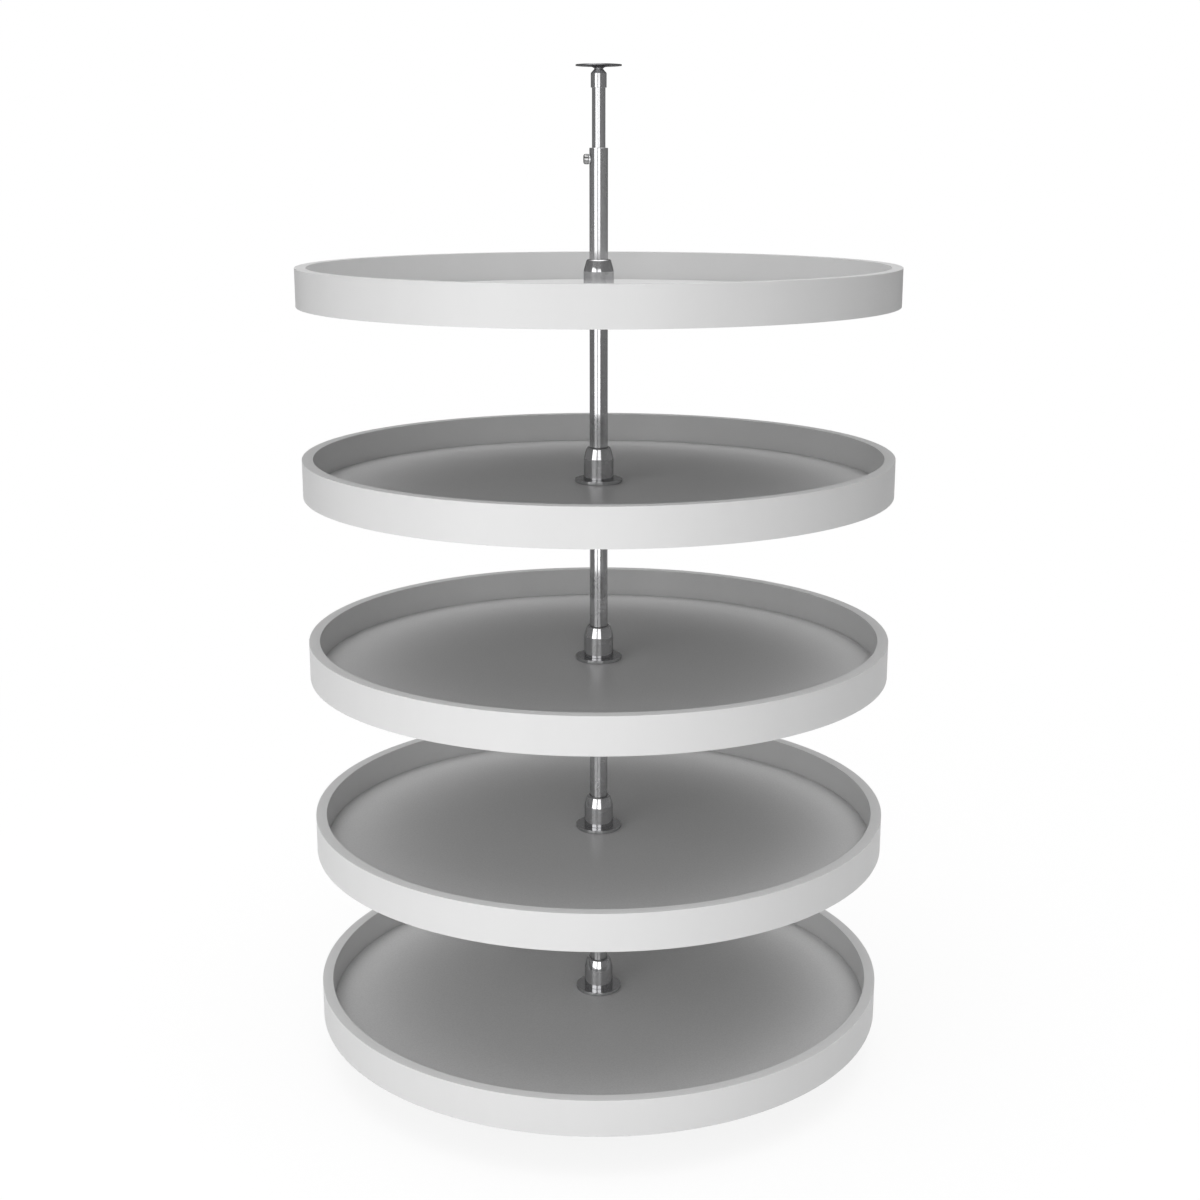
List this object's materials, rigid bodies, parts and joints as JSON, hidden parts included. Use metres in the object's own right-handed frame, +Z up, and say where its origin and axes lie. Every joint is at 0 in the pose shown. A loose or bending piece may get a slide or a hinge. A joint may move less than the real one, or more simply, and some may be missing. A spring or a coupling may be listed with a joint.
{
  "type": "rotating pantry shelf unit",
  "caption": "Round rimmed trays that turn one by one on a telescopic post fixed between the floor and the top of a tall pantry cabinet.",
  "frame": {"origin": "centre of the floor plate's underside, on the post's axis, at the centre of its screw holes", "axes": "+Z up along the post; -Y towards the cabinet's door; the clamp screw points to -X"},
  "size_m": [0.8127, 0.8128, 1.3904],
  "materials": {
    "white_rim": "smooth white laminate, satin",
    "white_board": "white laminate with a fine grain, matt",
    "bright_metal": "polished chrome plate",
    "zinc_steel": "bright zinc plate",
    "white_nylon": "moulded nylon",
    "black_plastic": "moulded acetal",
    "black_steel": "black oxide",
    "brass": "turned"
  },
  "bodies": {
    "post": {"floor_plate": "zinc_steel", "floor_set_screws": "black_steel", "outer_tube": "bright_metal", "tube_guide_bush": "black_plastic", "clamp_insert": "zinc_steel", "collar_set_screws": "black_steel", "collar_1": "zinc_steel", "thrust_washer_1": "black_plastic", "collar_2": "zinc_steel", "thrust_washer_2": "black_plastic", "collar_3": "zinc_steel", "thrust_washer_3": "black_plastic", "collar_4": "zinc_steel", "thrust_washer_4": "black_plastic", "collar_5": "zinc_steel", "thrust_washer_5": "black_plastic"},
    "tray_1": {"tray_1_rim": "white_rim", "tray_1_board": "white_board", "tray_1_hub_core": "white_nylon", "tray_1_hub_flange": "bright_metal", "tray_1_hub_barrel": "bright_metal", "tray_1_hub_screws": "zinc_steel"},
    "tray_2": {"tray_2_rim": "white_rim", "tray_2_board": "white_board", "tray_2_hub_core": "white_nylon", "tray_2_hub_flange": "bright_metal", "tray_2_hub_barrel": "bright_metal", "tray_2_hub_screws": "zinc_steel"},
    "tray_3": {"tray_3_rim": "white_rim", "tray_3_board": "white_board", "tray_3_hub_core": "white_nylon", "tray_3_hub_flange": "bright_metal", "tray_3_hub_barrel": "bright_metal", "tray_3_hub_screws": "zinc_steel"},
    "tray_4": {"tray_4_rim": "white_rim", "tray_4_board": "white_board", "tray_4_hub_core": "white_nylon", "tray_4_hub_flange": "bright_metal", "tray_4_hub_barrel": "bright_metal", "tray_4_hub_screws": "zinc_steel"},
    "tray_5": {"tray_5_rim": "white_rim", "tray_5_board": "white_board", "tray_5_hub_core": "white_nylon", "tray_5_hub_flange": "bright_metal", "tray_5_hub_barrel": "bright_metal", "tray_5_hub_screws": "zinc_steel"},
    "telescope": {"inner_tube": "bright_metal", "inner_tube_plug": "black_plastic", "top_cap": "bright_metal", "top_stud": "bright_metal"},
    "ceiling_plate": {"ceiling_plate": "bright_metal"},
    "clamp_pad": {"clamp_pad": "brass"},
    "clamp_screw": {"clamp_screw": "bright_metal"}
  },
  "joints": [
    {"name": "tray_1_spin", "type": "hinge", "parent": "post", "child": "tray_1", "pos_m": [0, 0, 1.08], "axis": [0, 0, 1], "continuous": true},
    {"name": "tray_2_spin", "type": "hinge", "parent": "post", "child": "tray_2", "pos_m": [0, 0, 0.825], "axis": [0, 0, 1], "continuous": true},
    {"name": "tray_3_spin", "type": "hinge", "parent": "post", "child": "tray_3", "pos_m": [0, 0, 0.57], "axis": [0, 0, 1], "continuous": true},
    {"name": "tray_4_spin", "type": "hinge", "parent": "post", "child": "tray_4", "pos_m": [0, 0, 0.315], "axis": [0, 0, 1], "continuous": true},
    {"name": "tray_5_spin", "type": "hinge", "parent": "post", "child": "tray_5", "pos_m": [0, 0, 0.06], "axis": [0, 0, 1], "continuous": true},
    {"name": "post_telescope", "type": "slide", "parent": "post", "child": "telescope", "axis": [0, 0, 1], "range_m": [-0.07, 0.11]},
    {"name": "ceiling_plate_turn", "type": "hinge", "parent": "telescope", "child": "ceiling_plate", "pos_m": [0, 0, 1.3847], "axis": [0, 0, 1], "continuous": true},
    {"name": "clamp_pad_slide", "type": "slide", "parent": "post", "child": "clamp_pad", "axis": [-1, 0, 0], "range_m": [0, 0.00125]},
    {"name": "clamp_screw_turn", "type": "hinge", "parent": "clamp_pad", "child": "clamp_screw", "pos_m": [-0.0103, 0, 1.2697], "axis": [-1, 0, 0], "range_deg": [0, 360]}
  ],
  "couplings": [
    {"joint": "clamp_pad_slide", "follows": "clamp_screw_turn", "m_per_rad": 0.0001989}
  ]
}
